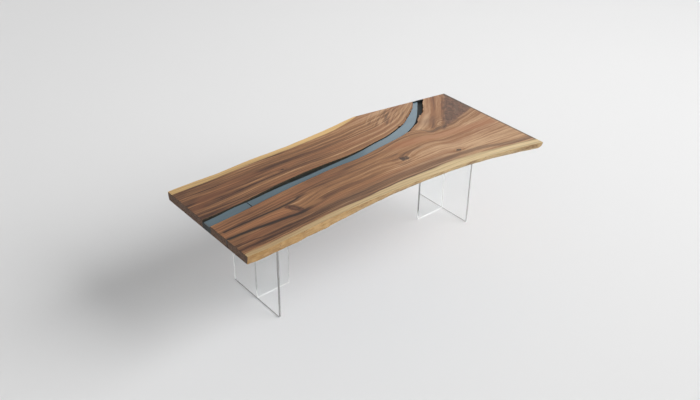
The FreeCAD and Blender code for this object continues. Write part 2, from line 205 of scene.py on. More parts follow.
# Broad bands beside the river's bend: their place across the grain, half width and lightness
RIVER_BANDS = (
    (-0.447, 0.020, 0.03), (-0.503, 0.026, -0.34), (-0.545, 0.018, -0.12), (-0.578, 0.014, -0.36))

# Where the river banks turn ragged, and the reach within which corners belong to one fastener or pad
RAGGED_START = 0.55
SOLID_REACH = 0.026

# The finishes of a slab in the order of its slots: wood, live edge, end grain, river bank
END_GRAIN_SLOT = 2

# Faces are told apart by their normals: level, upright, steep and eased ones, and those that face a way
LEVEL = 0.999
UPRIGHT = 0.95
STEEP = 0.3
EASED = 0.2
FACING = 0.9

# How near a face's middle lies to the bank or the live edge that it belongs to
BANK_REACH = 0.012
EDGE_REACH = 0.02

# Shares of the weathering: hollows and ripples at the upper rim, and bites where a bank isn't ragged
RIM_HOLLOWS = 0.45
RIM_RIPPLES = 0.6
CALM_BITES = 0.05

# Edges below these angles are shaded smooth: on slabs and pads, and on fasteners
SMOOTH_ANGLE = math.radians(40)
FASTENER_SMOOTH_ANGLE = math.radians(35)

# A flat of the frame's eight-sided rods lies out by this share of a corner's radius
FLAT_SHARE = math.cos(math.pi / 8)

# Shares of a fastener: thread depth of its pitch, its tip of its shank, its socket of its head, its dome
THREAD_DEPTH = 0.6
TIP_SHARE = 0.7
SOCKET_RADIUS = 0.42
BOLT_SOCKET_DEPTH = 0.62
SCREW_SOCKET_DEPTH = 0.6
DOME = ((0.76, 0.10), (0.90, 0.36), (0.97, 0.68))
SCREW_POINT = 0.001
SCREW_RIM = 0.0003

# A pad's rounded rim, in shares of its height: how far it lies in from the side, and how high
PAD_RIM = ((0.55, 0.0), (0.18, 0.14), (0.0, 0.50), (0.05, 1.0))


def colour_setting(name, description, default):
    """A setting for a colour, in the linear values that shaders take."""
    return FloatVectorProperty(name=name, description=description, default=default, subtype="COLOR")


def length_setting(name, description, default):
    """A setting for a length in metres."""
    return FloatProperty(name=name, description=description, default=default, unit="LENGTH")


def number_setting(name, description, default):
    """A setting for a plain number."""
    return FloatProperty(name=name, description=description, default=default)


def angle_setting(name, description, degrees):
    """A setting for an angle."""
    return FloatProperty(name=name, description=description, default=math.radians(degrees), subtype="ANGLE")


def place_setting(name, description, default):
    """A setting for a place in metres."""
    return FloatVectorProperty(name=name, description=description, default=default, subtype="TRANSLATION")


class SlabSettings(bpy.types.PropertyGroup):
    """What a user would change on the two slabs."""

    edge_ease: length_setting("Edge ease", "Rounding of the upper edges", 0.0016)
    cut_pitch: length_setting("Cut pitch", "Spacing of the cuts that give the edges their points", 0.012)
    edge_layers: IntProperty(name="Edge layers", description="Cuts through the slab's thickness", default=7)
    hollow_size: length_setting("Hollow size", "Size of the hollows in the live edges", 0.075)
    hollow_depth: length_setting("Hollow depth", "Depth of the hollows in the live edges", 0.011)
    ripple_size: length_setting("Ripple size", "Size of the ripples in the live edges", 0.018)
    ripple_depth: length_setting("Ripple depth", "Depth of the ripples in the live edges", 0.0035)
    ragged_size: length_setting("Ragged size", "Size of the bites in the river banks", 0.020)
    ragged_depth: length_setting("Ragged depth", "Depth of the bites in the river banks", 0.045)
    dark_heart: colour_setting("Dark heartwood", "Colour of the dark streaks", tint(60, 40, 32))
    brown_heart: colour_setting("Brown heartwood", "Main colour of the heartwood", tint(112, 77, 54))
    tan_heart: colour_setting("Tan heartwood", "Colour of the tan streaks", tint(160, 115, 76))
    pale_heart: colour_setting("Pale heartwood", "Colour of the palest streaks", tint(204, 166, 128))
    orange_heart: colour_setting("Orange heartwood", "Colour of the orange streak", tint(168, 110, 72))
    red_heart: colour_setting("Red heartwood", "Colour of the reddish patches", tint(150, 98, 66))
    dull_heart: colour_setting("Dull heartwood", "Colour inside the front sapwood", tint(104, 84, 68))
    side_streak: colour_setting("Side streak", "Colour of the streak by the front sapwood", tint(92, 72, 58))
    bend_patch: colour_setting("Bend patch", "Colour of the patch at the river's bend", tint(118, 82, 62))
    knot_eye: colour_setting("Knot eye", "Colour of the small knots", tint(50, 36, 31))
    knot_dark: colour_setting("Dark knot", "Colour of the spike knot's dark rings", tint(50, 34, 28))
    knot_pale: colour_setting("Pale knot", "Colour of the spike knot's pale rings", tint(98, 63, 47))
    crack_halo: colour_setting("Crack halo", "Colour of the wood round the cracks", tint(84, 58, 44))
    crack_stain: colour_setting("Crack stain", "Colour of the stain in the cracks", tint(44, 32, 27))
    fork_dark: colour_setting("Dark fork", "Colour of the fork figure's dark mottle", tint(52, 35, 29))
    fork_pale: colour_setting("Pale fork", "Colour of the fork figure's pale mottle", tint(124, 85, 66))
    fork_tip: colour_setting("Fork tip", "Colour of the streak off the fork figure", tint(66, 46, 38))
    sapwood: colour_setting("Sapwood", "Colour of the pale outer wood", tint(224, 200, 154))
    back_sapwood: colour_setting("Back sapwood", "Colour of the back edge's sapwood", tint(222, 184, 124))
    sapwood_streak: colour_setting("Sapwood streak", "Colour of the sapwood's streaks", tint(160, 131, 92))
    live_edge: colour_setting("Live edge", "Colour of the bared live edges", tint(139, 108, 65))
    live_edge_stain: colour_setting("Live edge stain", "Colour of the live edges' stains", tint(104, 72, 42))
    end_grain: colour_setting("End grain", "Colour of the sawn ends", tint(120, 94, 75))
    end_ring: colour_setting("End ring", "Colour of the dark rings on the sawn ends", tint(64, 46, 37))
    end_crack: colour_setting("End crack", "Colour of the crack on the left end", tint(34, 27, 24))
    end_rim: colour_setting("End rim", "Colour of the sawn ends' upper rim", tint(50, 37, 31))
    # The river walls are nearly black before the bend, with darker streaks
    bank_coat: colour_setting("Bank coat", "Colour of the sealed river walls", tint(62, 58, 50))
    dark_bank_streak: colour_setting("Bank run", "Colour of the coat's dark runs", tint(48, 45, 39))


class RiverSettings(bpy.types.PropertyGroup):
    """What a user would change on the river and the filled cracks."""

    glass: colour_setting("Glass", "Colour of the river glass", tint(87, 106, 115))
    # Painted sheen: the glass is mixed towards this paler colour at the right end, where the light's
    # reflection is brighter
    far_glass_painted_sheen: colour_setting("Far glass", "Colour of the river glass past the bend", tint(87, 117, 132))
    # Painted shade: the glass's upright faces take this dark colour
    glass_edge_painted_shade: colour_setting("Glass edge", "Colour of the glass's cut edges", tint(24, 34, 38))
    glass_roughness: FloatProperty(
        name="Glass roughness", description="How dull the glass is", default=0.18, subtype="FACTOR")
    bed: colour_setting("Bed", "Colour of the resin under the glass", tint(44, 48, 47))
    crack: colour_setting("Crack", "Colour of the resin in the cracks", tint(24, 20, 18))


class LegSettings(bpy.types.PropertyGroup):
    """What a user would change on the legs and the hardware."""

    clear: colour_setting("Clear", "Tint of the clear panels", (0.985, 0.995, 0.995))
    # Painted shade and light: the left leg's near edge is painted darker than the right leg's, for the
    # table's shadow behind it
    edge_greys: FloatVectorProperty(
        name="Edge grey", description="Grey of the left and right legs' near edges", size=2,
        default=(0.26, 0.50))
    edge_covers: FloatVectorProperty(
        name="Edge cover", description="How much the left and right legs' near edges hide", size=2,
        default=(0.74, 0.66))
    # The fins' foot and tip colours are painted light, white and a lit grey, shown together with the edges'
    # painted glow
    panel_foot: colour_setting("Panel foot", "Colour of the fins' lower edges", (0.97, 0.98, 0.98))
    panel_tip: colour_setting("Panel tip", "Colour of the fins' free upright edges", (0.62, 0.63, 0.63))
    seam_gap: length_setting("Seam gap", "Thickness of the bonded seam beside a fin", 0.0003)
    bore_area: FloatProperty(
        name="Bore area", description="Faces below this area are the panels' tapped bores", default=0.001,
        unit="AREA")
    turned_sides: IntProperty(name="Turned sides", description="Sides of turned pieces", default=32)
    refraction: number_setting("Refraction", "Refractive index of the panels", 1.49)
    pad: colour_setting("Pads", "Colour of the floor pads", tint(225, 228, 228))
    steel: colour_setting("Black steel", "Colour of the coated steel", tint(38, 38, 40))
    zinc: colour_setting("Zinc", "Colour of the bolts and screws", tint(190, 192, 196))
    brass: colour_setting("Brass", "Colour of the threaded inserts", tint(205, 172, 96))
    thread_pitch: length_setting("Thread pitch", "Step of the threads", 0.00125)


class StageSettings(bpy.types.PropertyGroup):
    """What a user would change on the stage."""

    # The floor's colours are painted light: palest round the middle on the lamp side and greyer far off, for
    # the falloff of the light
    floor_painted_lit: colour_setting("Pale floor", "Colour of the floor at its palest", (0.926, 0.926, 0.926))
    floor_painted_dim: colour_setting("Grey floor", "Colour of the floor far from there", (0.69, 0.69, 0.69))
    painted_light_middle: place_setting("Floor middle", "Where the floor is palest", (4.3, -0.8, 0.0))
    painted_light_reach: length_setting("Floor reach", "How far off the floor turns grey", 10.0)
    floor_cool: colour_setting(
        "Cool floor", "Tint under the table that makes up for the wood's warm light", (0.95, 0.985, 1.02))
    cool_reach: FloatVectorProperty(
        name="Cool reach", description="How far the cool tint goes along and across the table", size=2,
        subtype="TRANSLATION", default=(1.36, 1.14))
    floor_size: length_setting("Floor size", "Width of the floor", 120.0)
    sky: number_setting("Sky", "Strength of the light from overhead", 0.22)
    horizon: number_setting("Horizon", "Strength that the sky gains at the horizon", 0.92)
    key_strength: number_setting("Key strength", "Strength of the soft key lamp", 5.05)
    key_angle: angle_setting("Key angle", "How wide the soft key lamp looks", 56)
    key_turn: angle_setting("Key turn", "Where the key lamp stands, from the X axis", -38)
    key_rise: angle_setting("Key rise", "How high the key lamp stands", 21.5)
    key_distance: length_setting("Key distance", "How far off the key lamp is drawn", 6.0)
    sheen_power: number_setting("Sheen power", "Power of the soft box behind", 28.0)
    sheen_size: length_setting("Sheen size", "Width of the soft box behind", 3.4)
    sheen_place: place_setting("Sheen place", "Where the soft box behind hangs", (5.3, 3.4, 3.7))
    camera_place: place_setting("Camera place", "Where the camera stands", (-3.467, -3.945, 3.875))
    camera_turn: angle_setting("Camera turn", "Where the camera looks, from the X axis", 49.624)
    camera_tilt: angle_setting("Camera tilt", "How far the camera looks down", 33.064)
    camera_roll: angle_setting("Camera roll", "How far the camera leans over", 0.768)
    camera_lens: number_setting("Camera lens", "Focal length on a 36 mm sensor", 45.53)


class TableSettings(bpy.types.PropertyGroup):
    """All settings of the table."""

    slabs: PointerProperty(type=SlabSettings)
    river: PointerProperty(type=RiverSettings)
    legs: PointerProperty(type=LegSettings)
    stage: PointerProperty(type=StageSettings)


class Socket:
    """An output of a shader node that takes part in Python sums."""

    def __init__(self, look, output):
        self.look = look
        self.output = output

    def maths(self, operation, *values):
        """A sum or other operation on these values."""
        return self.look.node("ShaderNodeMath", {"operation": operation}, dict(enumerate(values)))

    def __add__(self, other):
        return self.maths("ADD", self, other)

    def __sub__(self, other):
        return self.maths("SUBTRACT", self, other)

    def __rsub__(self, other):
        return self.maths("SUBTRACT", other, self)

    def __mul__(self, other):
        return self.maths("MULTIPLY", self, other)

    def __truediv__(self, other):
        return self.maths("DIVIDE", self, other)

    def __rtruediv__(self, other):
        return self.maths("DIVIDE", other, self)

    def __pow__(self, other):
        return self.maths("POWER", self, other)

    def __abs__(self):
        return self.maths("ABSOLUTE", self)

    __radd__ = __add__
    __rmul__ = __mul__

    def near(self, place, reach):
        """A soft bump: 1 at the place, and nearly gone at twice the reach."""
        return self.maths("EXPONENT", ((self - place) / reach) ** 2 * -1)

    def sawtooth(self):
        """What is left of this above its whole number."""
        return self.maths("FRACT", self)

    def between(self, low, high):
        """A smooth step from 0 at low to 1 at high."""
        return self.look.node(
            "ShaderNodeMapRange", {"interpolation_type": "SMOOTHSTEP"},
            {"Value": self, "From Min": low, "From Max": high})


class Look:
    """A material or a world, and the one way to add nodes to it."""

    def __init__(self, name, kind="materials"):
        self.material = getattr(bpy.data, kind).new(name)
        self.material.use_nodes = True
        self.tree = self.material.node_tree
        self.tree.nodes.clear()

    def node(self, kind, settings=None, inputs=None, output=0):
        """Adds a node: its settings first, then the values or links of its sockets."""
        node = self.tree.nodes.new(kind)
        for name, value in (settings or {}).items():
            if name == "points":
                curve = node.mapping.curves[0]
                for point, place in zip(curve.points, (value[0], value[-1])):
                    point.location = place
                for place in value[1:-1]:
                    curve.points.new(*place)
                node.mapping.update()
            elif name == "stops":
                ramp = node.color_ramp.elements
                ramp.remove(ramp[-1])
                for place, colour in value:
                    stop = ramp.new(place) if place else ramp[0]
                    stop.color = (*colour, 1.0)
            else:
                setattr(node, name, value)
        for name, value in (inputs or {}).items():
            if isinstance(value, Socket):
                self.tree.links.new(value.output, node.inputs[name])
            else:
                node.inputs[name].default_value = value
        return Socket(self, node.outputs[output]) if node.outputs else None

    def place(self):
        """The X, Y and Z of a point, in metres."""
        point = self.node("ShaderNodeTexCoord", output="Object")
        return [self.node("ShaderNodeSeparateXYZ", None, {0: point}, axis) for axis in range(3)]

    def line(self, x, line):
        """The value of a line of (x, value) pairs, taken along the table."""
        low = min(value for _, value in line)
        high = max(value for _, value in line)
        points = [((at - LEFT_END) / TABLE_LENGTH, (value - low) / (high - low)) for at, value in line]
        share = (x - LEFT_END) / TABLE_LENGTH
        return self.node("ShaderNodeFloatCurve", {"points": points}, {"Value": share}) * (high - low) + low

    def noise(self, place, size, detail=3.0, roughness=0.55, distortion=0.0):
        """Noise from 0 to 1 at a place of three values, with spots about as large as the size."""
        point = self.node("ShaderNodeCombineXYZ", None, dict(enumerate(place)))
        return self.node(
            "ShaderNodeTexNoise", None,
            {"Vector": point, "Scale": 1 / size, "Detail": detail, "Roughness": roughness,
             "Distortion": distortion})

    def mix(self, share, first, second, blend="MIX"):
        """Two colours mixed by a share."""
        colours = [value if isinstance(value, Socket) else (*value, 1.0) for value in (first, second)]
        return self.node(
            "ShaderNodeMix", {"data_type": "RGBA", "blend_type": blend},
            {0: share, 6: colours[0], 7: colours[1]}, 2)

    def bump(self, height, distance, strength):
        """The normal of a surface that rises with a height."""
        return self.node(
            "ShaderNodeBump", None, {"Strength": strength, "Distance": distance, "Height": height})

    def surface(self, inputs):
        """Ends the material in one shader with these sockets set."""
        shader = self.node("ShaderNodeBsdfPrincipled", None, inputs)
        self.node("ShaderNodeOutputMaterial", None, {"Surface": shader})
        return self.material


def settings():
    """The table's settings in the scene."""
    return bpy.context.scene.river_table


def shades(colour, *shares):
    """A colour made darker or paler by shares."""
    return [tuple(value * share for value in colour) for share in shares]


def along_and_across(turn, x, y):
    """How far a point lies along and across a direction."""
    return x * math.cos(turn) + y * math.sin(turn), y * math.cos(turn) - x * math.sin(turn)


def edge_at_height(look, x, z, above, below):
    """Where a live edge runs at a height, drawn in towards the underside."""
    drawn_in = 1 - (z - UNDERSIDE) / (TOP - UNDERSIDE)
    upper = look.line(x, above)
    lower = look.line(x, below)
    return upper + (lower - upper) * (drawn_in ** EDGE_CURVE)


def front_grain(look, x, y, z):
    """The front slab's grain: its way along and across, the distance from the live edge, and its shade."""
    edge = edge_at_height(look, x, z, FRONT_EDGE, FRONT_EDGE_BELOW)
    heart = look.line(x, HEART_LINE)
    from_edge = y - edge
    lengthwise = from_edge / (heart - edge) * 0.42
    bank = look.line(x, FRONT_BANK)
    from_bank = (bank - y) * look.line(x, level_share(FRONT_BANK))
    turned_along, outward = along_and_across(BANK_TURN, x, y)
    from_bank = from_bank + (STRAIGHT_BANK - outward - from_bank) * x.between(0.84, 0.95)
    waver = look.noise((x, y, z), 0.09) - 0.5
    forked = (y - heart + waver * 0.06).between(-0.010, 0.03) * x.between(0.48, 0.56)
    across = lengthwise + (from_bank * 0.45 + 0.5 - lengthwise) * forked
    along = x + (turned_along - x) * forked
    banded = 0.0
    for place, half_width, lightness in RIVER_BANDS:
        banded = banded + (outward + waver * 0.03).near(place, half_width) * lightness
    shaded = lengthwise.between(0.24, 0.33) * x.between(-0.6, -0.3) * -0.14
    paler = lengthwise.near(0.19, 0.045) * x.between(-0.1, 0.25) * (1 - x.between(0.85, 1.05))
    return along, across, from_edge, banded * forked + (shaded + paler * 0.14) * (1 - forked)


def back_grain(look, x, y, z):
    """The back slab's grain: its way along and across, the distance from the live edge, and its shade."""
    edge = edge_at_height(look, x, z, BACK_EDGE, BACK_EDGE_BELOW)
    bank = look.line(x, BACK_BANK)
    from_bank = (y - bank) * look.line(x, level_share(BACK_BANK))
    from_edge = edge - y
    across = from_bank / (from_bank + from_edge) * 0.38 + x * 0.04 + 0.012
    paler = (1 - from_bank.between(0.03, 0.12)) * x.between(-0.7, -0.35) * (1 - x.between(0.55, 0.75))
    by_bank = stroke(look, x, y, BACK_BANK_TAN, 0.050, 0.10, 0.30)
    by_sap = stroke(look, x, y, BACK_PALE, 0.044, 0.30, 0.20)
    by_end = 1 - x.between(-1.1, -0.8)
    return x, across, from_edge, paler * 0.07 + by_bank * 0.19 + by_sap * 0.20 - by_end * 0.07


def knot_marks(look, x, y, knots):
    """How far knots push the grain aside at a point, and how much of a knot's eye and ring is there."""
    pushed = 0.0
    eyes = 0.0
    rings = 0.0
    waver = (look.noise((x, y, 0.0), 0.025) - 0.5) * 2.4
    for knot_x, knot_y, along, across, push, eye in knots:
        pushed = pushed + x.near(knot_x, along) * y.near(knot_y, across) * push
        if eye:
            out = (((x - knot_x) / (1.5 * eye)) ** 2 + ((y - knot_y) / eye) ** 2) ** 0.5 + waver
            eyes = eyes + (1 - out.between(0.50, 1.15))
            rings = rings + out.near(1.8, 0.6)
    return pushed, eyes, rings


def stroke(look, x, y, line, width, start_fade, end_fade):
    """How dark a stroke of figure is at a point: full on its line, gone at its width and past its ends."""
    off = abs(y - look.line(x, line))
    started = x.between(line[0][0], line[0][0] + start_fade)
    ended = x.between(line[-1][0] - end_fade, line[-1][0])
    return (1 - off.between(0.3 * width, width)) * started * (1 - ended)


def drawn(look, x, y, waver, strokes, heart, colours):
    """The heartwood with strokes of figure drawn on it, one after the other."""
    for line, wavering, width, start_fade, end_fade, strength, colour in strokes:
        mark = stroke(look, x, y + waver * wavering, line, width, start_fade, end_fade)
        heart = look.mix(mark * strength, heart, getattr(colours, colour))
    return heart


def inside(x, y, corners, soft, waver):
    """How far a point lies inside a figure of corners that run anticlockwise, with soft wavering sides."""
    share = 1.0
    for (x_start, y_start), (x_end, y_end) in zip(corners, corners[1:] + corners[:1]):
        length = math.hypot(x_end - x_start, y_end - y_start)
        right_x = (y_end - y_start) / length
        right_y = (x_start - x_end) / length
        depth = (x - x_start) * right_x + (y - y_start) * right_y
        share = (depth * -1 + waver).between(-soft, soft) * share
    return share


def wood_look(name, grain, figures, knots, sap_widths, dark_widths, sapwood, sap_pale, calm, lightness):
    """Oiled wood of one slab: streaked heartwood, knots, figure and pale sapwood at the live edge.

    Calm is the share of their contrast that the streaks keep away from the live edge.
    """
    colours = settings().slabs
    look = Look(name)
    x, y, z = look.place()
    along, across, from_edge, shade = grain(look, x, y, z)
    pushed, eyes, rings = knot_marks(look, x, y, knots)
    waver = (look.noise((x / 4, y, z), 0.03) - 0.5) * 0.012
    past_sap = from_edge - look.line(x, sap_widths) + waver

    def streaks(length, width, detail=3.0):
        return look.noise((along / length, across / width, z / (4 * width)), 1.0, detail)

    across = across + pushed
    across = across + (streaks(0.60, 0.14) - 0.5) * 0.050
    across = across + (streaks(0.17, 0.035) - 0.5) * 0.006
    drift = streaks(2.2, 0.075, 2.0)
    bands = streaks(1.5, 0.017, 2.5)
    veins = streaks(1.3, 0.011, 2.0).between(0.50, 0.60)
    lines = streaks(0.30, 0.0050)
    fibres = streaks(0.05, 0.0018, 2.0)
    inner = look.line(x, dark_widths)
    dark_zone = 1 - (past_sap + waver * 2).between(inner * 0.55, inner * 1.15)
    lively = dark_zone * (1 - calm) + calm
    lined = 1.35 - x.between(-0.9, 0.4) * 0.45
    tone = (drift - 0.5) * 0.65 + (bands - 0.5) * (lively * 0.75 + 0.95) + (lines - 0.5) * lined
    tone = tone + (fibres - 0.5) * 0.4
    tone = tone - veins * (lively * 0.14 + dark_zone * 0.14 + 0.03) - rings * 0.10
    # Paler towards the right end: partly the wood's own colour, partly painted light for the brighter light
    # and sheen there
    tone = tone + x.between(-1.0, 1.0) * 0.44 + (shade + lightness)
    stops = (
        (0.0, colours.dark_heart), (0.33, colours.brown_heart), (0.66, colours.tan_heart),
        (1.0, colours.pale_heart))
    heart = look.node("ShaderNodeValToRGB", {"stops": stops}, {0: tone})
    reddish = look.noise((along / 3, across * 1.6, z), 0.16, 2.0).between(0.48, 0.66)
    heart = look.mix(reddish * 0.35, heart, colours.red_heart)
    heart = figures(look, x, y, z, heart, colours)
    heart = look.mix(eyes * 0.88, heart, colours.knot_eye)

    streaked = (lines * 0.7 + bands * 0.3).between(0.35, 0.75)
    # Paler towards the right end: partly the sapwood's own colour, partly painted light for the brighter
    # light and sheen there
    paleness_and_painted_light = x.between(-1.4, 1.2) * 0.75 - streaked * 0.3 + sap_pale
    sap = look.mix(paleness_and_painted_light, colours.sapwood_streak, sapwood)
    sap = look.mix(veins * 0.25, sap, colours.live_edge_stain)
    soft = x.between(0.1, 0.8) * 0.012 + 0.003
    return look.surface({
        "Base Color": look.mix(past_sap.between(soft * -1, soft), sap, heart),
        "Roughness": 0.48 - tone * 0.08 + fibres * 0.10, "Specular IOR Level": 0.45,
        "Normal": look.bump(fibres * 0.6 + lines * 0.4, 0.0006, 0.5)})


def live_edge_look():
    """The bared live edges: golden sapwood with stains, small hollows and ripples along the grain."""
    colours = settings().slabs
    look = Look("live edge")
    x, y, z = look.place()
    ripples = look.noise((x / 5, y, z), 0.010, 3.0)
    stain = look.noise((x / 2, y, z), 0.055, 4.0).between(0.44, 0.66)
    pits = look.noise((x / 2, y, z), 0.014, 2.0).between(0.62, 0.72)
    colour = look.mix(ripples.between(0.35, 0.75), colours.live_edge, colours.sapwood_streak)
    # Paler towards the right end: partly the live edge's own colour, partly painted light for the brighter
    # light there
    colour = look.mix(x.between(-1.2, 1.0) * 0.35, colour, colours.sapwood)
    colour = look.mix(stain * 0.40, colour, colours.live_edge_stain)
    colour = look.mix(pits * 0.5, colour, colours.dark_heart)
    for place, height, reach in EDGE_BURLS:
        out = (((x - place) / reach) ** 2 + ((z - height) / (0.5 * reach)) ** 2) ** 0.5 + (ripples - 0.5)
        spot = out.near(0.8, 0.5) * (1 - y.between(-0.2, 0.0))
        colour = look.mix(spot * 0.6, colour, colours.live_edge_stain)
    return look.surface({
        "Base Color": colour, "Roughness": ripples * 0.2 + 0.45, "Specular IOR Level": 0.35,
        "Normal": look.bump(ripples - pits, 0.0025, 0.7)})


def edge_lines(look, x, z, past_sap, share, heart, colours):
    """Fine dark and tan lines in the heartwood that follow a live edge."""
    lines = look.noise((x / 0.8, past_sap / 0.0065, z), 1.0, 2.0)
    heart = look.mix(lines.between(0.48, 0.62) * share * 0.42, heart, colours.dark_heart)
    return look.mix((1 - lines.between(0.36, 0.48)) * share * 0.38, heart, colours.tan_heart)


def spike_knot(look, x, y, waver, heart, colours):
    """The heartwood with the ringed spike knot between the cracks."""
    along, across = along_and_across(SPIKE_KNOT_TURN, x - SPIKE_KNOT[0], y - SPIKE_KNOT[1])
    out = ((along / SPIKE_KNOT_REACH[0]) ** 2 + (across / SPIKE_KNOT_REACH[1]) ** 2) ** 0.5 + waver
    ringed = abs((out * 2.2).sawtooth() - 0.5) * 2
    knot = look.mix(ringed.between(0.2, 0.8), colours.knot_pale, colours.knot_dark)
    return look.mix((1 - out.between(0.75, 1.10)) * 0.85, heart, knot)


def front_figures(look, x, y, z, heart, colours):
    """The front slab's figure: orange streaks, stained cracks, the spike knot and the dark mottled fork."""
    waver = look.noise((x / 2, y, z), 0.04) - 0.5
    heart = drawn(look, x, y, waver, GRAIN_STROKES, heart, colours)
    past_sap = y - look.line(x, FRONT_EDGE) - look.line(x, FRONT_SAPWOOD) + waver * 0.008
    edged = (1 - past_sap.between(0.06, 0.13)) * (1 - x.between(0.3, 0.8))
    heart = look.mix(edged * x.between(-0.75, -0.3) * 0.42, heart, colours.dull_heart)
    heart = edge_lines(look, x, z, past_sap, edged, heart, colours)
    bend = x.near(BEND_PATCH[0], BEND_PATCH_REACH[0]) * y.near(BEND_PATCH[1], BEND_PATCH_REACH[1])
    heart = look.mix(bend * 0.5, heart, colours.bend_patch)
    heart = drawn(look, x, y, waver, KNOT_STROKES, heart, colours)
    heart = spike_knot(look, x, y, waver, heart, colours)
    heart = drawn(look, x, y, waver, CRACK_STROKES, heart, colours)

    ruffle = (look.noise((x, y, z), 0.05) - 0.5) * 0.06
    forked = inside(x, y, FORK_FIGURE, 0.022, ruffle)
    curl = look.noise((x, y, z), 0.030, 4.0, 0.62, 1.0).between(0.30, 0.72)
    heart = look.mix(forked * 0.88, heart, look.mix(curl, colours.fork_dark, colours.fork_pale))
    heart = drawn(look, x, y, waver, FORK_STROKES, heart, colours)
    rim = x.between(RIGHT_END - 0.018, RIGHT_END - 0.006)
    return look.mix(rim * 0.75, heart, colours.dark_heart)


def back_figures(look, x, y, z, heart, colours):
    """The back slab's figure: fine lines by the live edge, and feathered strokes by the saw cut."""
    past_sap = look.line(x, BACK_EDGE) - y - look.line(x, BACK_SAPWOOD)
    edged = (1 - past_sap.between(0.08, 0.18)) * (1 - x.between(-0.7, 0.2))
    heart = edge_lines(look, x, z, past_sap, edged, heart, colours)
    dx = (x - FEATHER_FIGURE[0]) / FEATHER_FIGURE_REACH[0]
    dy = (y - FEATHER_FIGURE[1]) / FEATHER_FIGURE_REACH[1]
    feathered = 1 - (dx ** 2 + dy ** 2).between(0.25, 1.0)
    along, across = along_and_across(FEATHER_TURN, x, y)
    strokes = look.noise((along / 0.22, across / 0.015, z), 1.0, 2.0)
    heart = look.mix(feathered * strokes.between(0.50, 0.66) * 0.6, heart, colours.dark_heart)
    return look.mix(feathered * (1 - strokes.between(0.34, 0.46)) * 0.5, heart, colours.pale_heart)


def end_grain_look():
    """Sawn ends: growth rings in arcs, fine pores, the long crack's mouth and a dark upper rim."""
    colours = settings().slabs
    look = Look("end grain")
    x, y, z = look.place()
    bow = (x, y * 0.8, (z - UNDERSIDE) * 1.4 + y * y * 0.5)
    rings = look.noise(bow, 0.012, 3.0)
    pores = look.noise((x, y, z), 0.0016, 2.0)
    tone = rings.between(0.35, 0.65) * 0.6 + pores * 0.4
    colour = look.mix(tone, colours.end_ring, colours.end_grain)
    cracked = 1 - abs(y - LONG_CRACK[0][1]).between(0.003, 0.010)
    colour = look.mix(cracked * (1 - x.between(-0.1, 0.1)) * 0.8, colour, colours.end_crack)
    rim = z.between(TOP - 0.004, TOP - 0.001)
    colour = look.mix(rim * 0.6, colour, colours.end_rim)
    return look.surface({
        "Base Color": colour, "Roughness": 0.55 + pores * 0.2, "Specular IOR Level": 0.3,
        "Normal": look.bump(pores + rings, 0.0008, 0.5)})


def dark_bank_wall_look():
    """The river's walls: nearly black with darker streaks, and brown wood past the bend."""
    colours = settings().slabs
    look = Look("bank coat")
    x, y, z = look.place()
    runs = look.noise((x, y, z / 3), 0.012, 3.0)
    coat = look.mix(runs.between(0.35, 0.75), colours.dark_bank_streak, colours.bank_coat)
    raw = look.mix(runs.between(0.35, 0.75), colours.brown_heart, colours.tan_heart)
    return look.surface({
        "Base Color": look.mix(x.between(0.54, 0.66), coat, raw), "Roughness": runs * 0.3 + 0.4,
        "Specular IOR Level": 0.2, "Normal": look.bump(runs, 0.002, 0.6)})


def river_glass_look():
    """Back-tinted glass with a faint drift in its colour, a painted sheen that makes it paler towards the
    right end, and its cut edges darkened by painted shade.
    """
    chosen = settings().river
    look = Look("river glass")
    x, y, z = look.place()
    drift = look.noise((x / 3, y, z), 0.10, 3.0)
    dust = look.noise((x, y, z), 0.004, 2.0)
    # Painted sheen: paler towards the right end
    colour = look.mix(x.between(-0.6, 0.9), chosen.glass, chosen.far_glass_painted_sheen)
    colour = look.mix(drift.between(0.3, 0.7) * 0.12, colour, (0.0, 0.0, 0.0))
    # Painted shade: the faces that don't face up or down are darkened
    facing = look.node("ShaderNodeNewGeometry", output="Normal")
    upward = abs(look.node("ShaderNodeSeparateXYZ", None, {0: facing}, 2))
    colour = look.mix(upward.between(0.4, 0.8), chosen.glass_edge_painted_shade, colour)
    return look.surface({
        "Base Color": colour, "Roughness": dust * 0.12 + (chosen.glass_roughness - 0.06),
        "Specular IOR Level": 0.5, "Coat Weight": 0.5, "Coat Roughness": 0.06})


def resin_look(name, colour, roughness):
    """Cast resin with slow swirls."""
    look = Look(name)
    x, y, z = look.place()
    swirl = look.noise((x / 2, y, z), 0.05, 3.0, 0.6, 1.5)
    dark, pale = shades(colour, 0.65, 1.35)
    return look.surface({
        "Base Color": look.mix(swirl.between(0.3, 0.7), dark, pale),
        "Roughness": swirl * 0.2 + (roughness - 0.1), "Normal": look.bump(swirl, 0.001, 0.3)})


def clear_look():
    """Clear polished sheet that lets the lamps and the floor's own light through."""
    chosen = settings().legs
    look = Look("clear sheet")
    x, y, z = look.place()
    haze = look.noise((x, y, z), 0.05, 2.0)
    sheet = look.node("ShaderNodeBsdfPrincipled", None, {
        "Base Color": (*chosen.clear, 1.0), "Roughness": haze * 0.02, "IOR": chosen.refraction,
        "Transmission Weight": 1.0})
    through = look.node("ShaderNodeBsdfTransparent", None, {"Color": (0.97, 0.975, 0.975, 1.0)})
    shadow = look.node("ShaderNodeLightPath", output="Is Shadow Ray")
    bounce = look.node("ShaderNodeLightPath", output="Is Diffuse Ray")
    unseen = shadow.maths("MAXIMUM", shadow, bounce)
    shader = look.node("ShaderNodeMixShader", None, {0: unseen, 1: sheet, 2: through})
    look.node("ShaderNodeOutputMaterial", None, {"Surface": shader})
    return look.material


